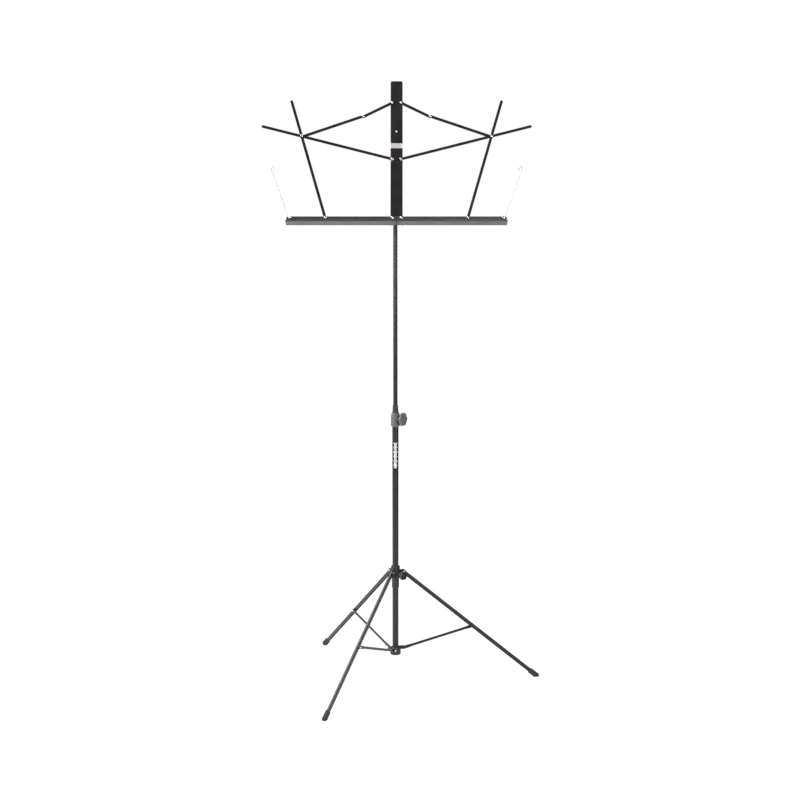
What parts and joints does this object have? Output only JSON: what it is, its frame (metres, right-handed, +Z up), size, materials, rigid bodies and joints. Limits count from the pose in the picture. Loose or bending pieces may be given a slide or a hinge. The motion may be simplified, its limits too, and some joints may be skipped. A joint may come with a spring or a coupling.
{
  "type": "folding music stand",
  "caption": "Folding wire music stand with a telescopic mast, a tripod base and a leaning desk whose trays and arms fold flat.",
  "frame": {"origin": "on the floor, at the bottom centre of the bounding box of the open stand", "axes": "+Z up along the mast, the desk faces -Y, +X is to the reader's right when facing the desk"},
  "size_m": [0.6408, 0.5918, 1.3858],
  "materials": {
    "black_paint": "semi-gloss powder coat",
    "channel_paint": "satin powder coat",
    "tray_paint": "satin powder coat",
    "grey_plastic": "fine moulded texture",
    "black_plastic": "fine moulded texture",
    "black_rubber": "matte",
    "bright_steel": "bright zinc plate",
    "plated_strap": "plated, lightly brushed",
    "spring_wire": "bright drawn wire"
  },
  "bodies": {
    "base": {"lower_tube": "black_paint", "base_hub": "black_plastic", "strut_pin_1": "bright_steel", "strut_pin_2": "bright_steel", "strut_pin_3": "bright_steel", "mast_clamp": "grey_plastic", "mast_bushing": "black_plastic"},
    "mast_guide": {"mast_guide_plug": "black_plastic"},
    "mast": {"upper_tube": "black_paint", "tilt_head": "black_plastic"},
    "desk": {"back_channel": "channel_paint", "channel_strap": "plated_strap", "desk_bracket": "black_paint", "bracket_rivet": "bright_steel", "tilt_bolt": "bright_steel", "link_rivet_left": "bright_steel", "arm_rivet_left": "bright_steel", "tray_rivet_left": "bright_steel", "link_rivet_right": "bright_steel", "arm_rivet_right": "bright_steel", "tray_rivet_right": "bright_steel"},
    "wing_nut": {"tilt_wing_nut": "bright_steel"},
    "clamp_knob": {"mast_clamp_knob": "grey_plastic"},
    "collar": {"leg_collar": "black_plastic", "leg_pin_1": "bright_steel", "leg_pin_2": "bright_steel", "leg_pin_3": "bright_steel"},
    "collar_knob": {"collar_knob": "black_plastic"},
    "leg_1": {"leg_1": "black_paint", "leg_foot_1": "black_rubber"},
    "strut_1": {"strut_1": "black_paint", "strut_rivet_1": "bright_steel"},
    "leg_2": {"leg_2": "black_paint", "leg_foot_2": "black_rubber"},
    "strut_2": {"strut_2": "black_paint", "strut_rivet_2": "bright_steel"},
    "leg_3": {"leg_3": "black_paint", "leg_foot_3": "black_rubber"},
    "strut_3": {"strut_3": "black_paint", "strut_rivet_3": "bright_steel"},
    "tray_left": {"tray_left": "tray_paint", "side_arm_rivet_left": "bright_steel", "retainer_rivet_left": "bright_steel"},
    "long_arm_left": {"long_arm_left": "black_paint", "cross_rivet_left": "bright_steel"},
    "side_arm_left": {"side_arm_left": "black_paint"},
    "inner_link_left": {"inner_link_left": "black_paint"},
    "outer_link_left": {"outer_link_left": "black_paint", "knee_rivet_left": "bright_steel"},
    "page_retainer_left": {"page_retainer_left": "spring_wire"},
    "tray_right": {"tray_right": "tray_paint", "side_arm_rivet_right": "bright_steel", "retainer_rivet_right": "bright_steel"},
    "long_arm_right": {"long_arm_right": "black_paint", "cross_rivet_right": "bright_steel"},
    "side_arm_right": {"side_arm_right": "black_paint"},
    "inner_link_right": {"inner_link_right": "black_paint"},
    "outer_link_right": {"outer_link_right": "black_paint", "knee_rivet_right": "bright_steel"},
    "page_retainer_right": {"page_retainer_right": "spring_wire"}
  },
  "joints": [
    {"name": "collar_slide", "type": "slide", "parent": "base", "child": "collar", "axis": [0, 0, 1], "range_m": [0, 0.1991]},
    {"name": "mast_slide", "type": "slide", "parent": "base", "child": "mast_guide", "axis": [0, 0, 1], "range_m": [-0.37, 0.05]},
    {"name": "mast_swivel", "type": "hinge", "parent": "mast_guide", "child": "mast", "pos_m": [-0.0201, 0.00817, 0.47], "axis": [0, 0, 1], "continuous": true},
    {"name": "desk_tilt", "type": "hinge", "parent": "mast", "child": "desk", "pos_m": [-0.0171, 0.00817, 1.2277], "axis": [-1, 0, 0], "range_deg": [-20, 60]},
    {"name": "wing_nut_turn", "type": "hinge", "parent": "desk", "child": "wing_nut", "pos_m": [-0.0171, 0.00817, 1.2277], "axis": [1, 0, 0], "range_deg": [0, 360]},
    {"name": "clamp_knob_turn", "type": "hinge", "parent": "base", "child": "clamp_knob", "pos_m": [-0.0201, 0.00817, 0.618], "axis": [0.866, -0.5, 0], "range_deg": [0, 360]},
    {"name": "collar_knob_turn", "type": "hinge", "parent": "collar", "child": "collar_knob", "pos_m": [-0.0201, 0.00817, 0.252], "axis": [0.7071, -0.7071, 0], "range_deg": [0, 360]},
    {"name": "leg_1_fold", "type": "hinge", "parent": "collar", "child": "leg_1", "pos_m": [-0.00082, 0.00911, 0.2575], "axis": [-0.0489, 0.9988, 0], "range_deg": [0, 51.01]},
    {"name": "strut_1_fold", "type": "hinge", "parent": "base", "child": "strut_1", "pos_m": [-0.00082, 0.00911, 0.0735], "axis": [0.0489, -0.9988, 0], "range_deg": [0, 72.72]},
    {"name": "leg_2_fold", "type": "hinge", "parent": "collar", "child": "leg_2", "pos_m": [-0.03055, 0.02439, 0.2575], "axis": [-0.8406, -0.5417, 0], "range_deg": [0, 51.01]},
    {"name": "strut_2_fold", "type": "hinge", "parent": "base", "child": "strut_2", "pos_m": [-0.03055, 0.02439, 0.0735], "axis": [0.8406, 0.5417, 0], "range_deg": [0, 72.72]},
    {"name": "leg_3_fold", "type": "hinge", "parent": "collar", "child": "leg_3", "pos_m": [-0.02892, -0.009, 0.2575], "axis": [0.8894, -0.4571, 0], "range_deg": [0, 51.01]},
    {"name": "strut_3_fold", "type": "hinge", "parent": "base", "child": "strut_3", "pos_m": [-0.02892, -0.009, 0.0735], "axis": [-0.8894, 0.4571, 0], "range_deg": [0, 72.72]},
    {"name": "tray_left_fold", "type": "hinge", "parent": "desk", "child": "tray_left", "pos_m": [-0.02695, -0.07287, 1.07522], "axis": [0, 0.9397, -0.342], "range_deg": [0, 90]},
    {"name": "long_arm_left_fold", "type": "hinge", "parent": "desk", "child": "long_arm_left", "pos_m": [-0.02695, -0.02533, 1.20584], "axis": [0, 0.9397, -0.342], "range_deg": [0, 75]},
    {"name": "side_arm_left_fold", "type": "hinge", "parent": "long_arm_left", "child": "side_arm_left", "pos_m": [-0.22978, -0.00673, 1.25693], "axis": [0, 0.9397, -0.342], "range_deg": [-59.17, 0]},
    {"name": "outer_link_left_fold", "type": "hinge", "parent": "long_arm_left", "child": "outer_link_left", "pos_m": [-0.22978, -0.00673, 1.25693], "axis": [0, 0.9397, -0.342], "range_deg": [0, 34.96]},
    {"name": "inner_link_left_fold", "type": "hinge", "parent": "desk", "child": "inner_link_left", "pos_m": [-0.02695, 0.02187, 1.33552], "axis": [0, 0.9397, -0.342], "range_deg": [-62.75, 0]},
    {"name": "page_retainer_left_turn", "type": "hinge", "parent": "tray_left", "child": "page_retainer_left", "pos_m": [-0.25325, -0.07287, 1.07522], "axis": [0, 0.9397, -0.342], "range_deg": [0, 108]},
    {"name": "tray_right_fold", "type": "hinge", "parent": "desk", "child": "tray_right", "pos_m": [-0.00725, -0.07287, 1.07522], "axis": [0, -0.9397, 0.342], "range_deg": [0, 90]},
    {"name": "long_arm_right_fold", "type": "hinge", "parent": "desk", "child": "long_arm_right", "pos_m": [-0.00725, -0.02533, 1.20584], "axis": [0, -0.9397, 0.342], "range_deg": [0, 75]},
    {"name": "side_arm_right_fold", "type": "hinge", "parent": "long_arm_right", "child": "side_arm_right", "pos_m": [0.19559, -0.00673, 1.25693], "axis": [0, -0.9397, 0.342], "range_deg": [-59.17, 0]},
    {"name": "outer_link_right_fold", "type": "hinge", "parent": "long_arm_right", "child": "outer_link_right", "pos_m": [0.19559, -0.00673, 1.25693], "axis": [0, -0.9397, 0.342], "range_deg": [0, 34.96]},
    {"name": "inner_link_right_fold", "type": "hinge", "parent": "desk", "child": "inner_link_right", "pos_m": [-0.00725, 0.02187, 1.33552], "axis": [0, -0.9397, 0.342], "range_deg": [-62.75, 0]},
    {"name": "page_retainer_right_turn", "type": "hinge", "parent": "tray_right", "child": "page_retainer_right", "pos_m": [0.21905, -0.07287, 1.07522], "axis": [0, -0.9397, 0.342], "range_deg": [0, 108]}
  ],
  "couplings": [
    {"joint": "leg_1_fold", "follows": "collar_slide", "rad_per_m": 4.4707},
    {"joint": "strut_1_fold", "follows": "collar_slide", "rad_per_m": 6.3739},
    {"joint": "leg_2_fold", "follows": "collar_slide", "rad_per_m": 4.4707},
    {"joint": "strut_2_fold", "follows": "collar_slide", "rad_per_m": 6.3739},
    {"joint": "leg_3_fold", "follows": "collar_slide", "rad_per_m": 4.4707},
    {"joint": "strut_3_fold", "follows": "collar_slide", "rad_per_m": 6.3739},
    {"joint": "long_arm_left_fold", "follows": "tray_left_fold", "ratio": 0.83326},
    {"joint": "side_arm_left_fold", "follows": "tray_left_fold", "ratio": -0.65734},
    {"joint": "outer_link_left_fold", "follows": "tray_left_fold", "ratio": 0.38838},
    {"joint": "inner_link_left_fold", "follows": "tray_left_fold", "ratio": -0.6971},
    {"joint": "long_arm_right_fold", "follows": "tray_right_fold", "ratio": 0.83326},
    {"joint": "side_arm_right_fold", "follows": "tray_right_fold", "ratio": -0.65734},
    {"joint": "outer_link_right_fold", "follows": "tray_right_fold", "ratio": 0.38838},
    {"joint": "inner_link_right_fold", "follows": "tray_right_fold", "ratio": -0.6971}
  ]
}
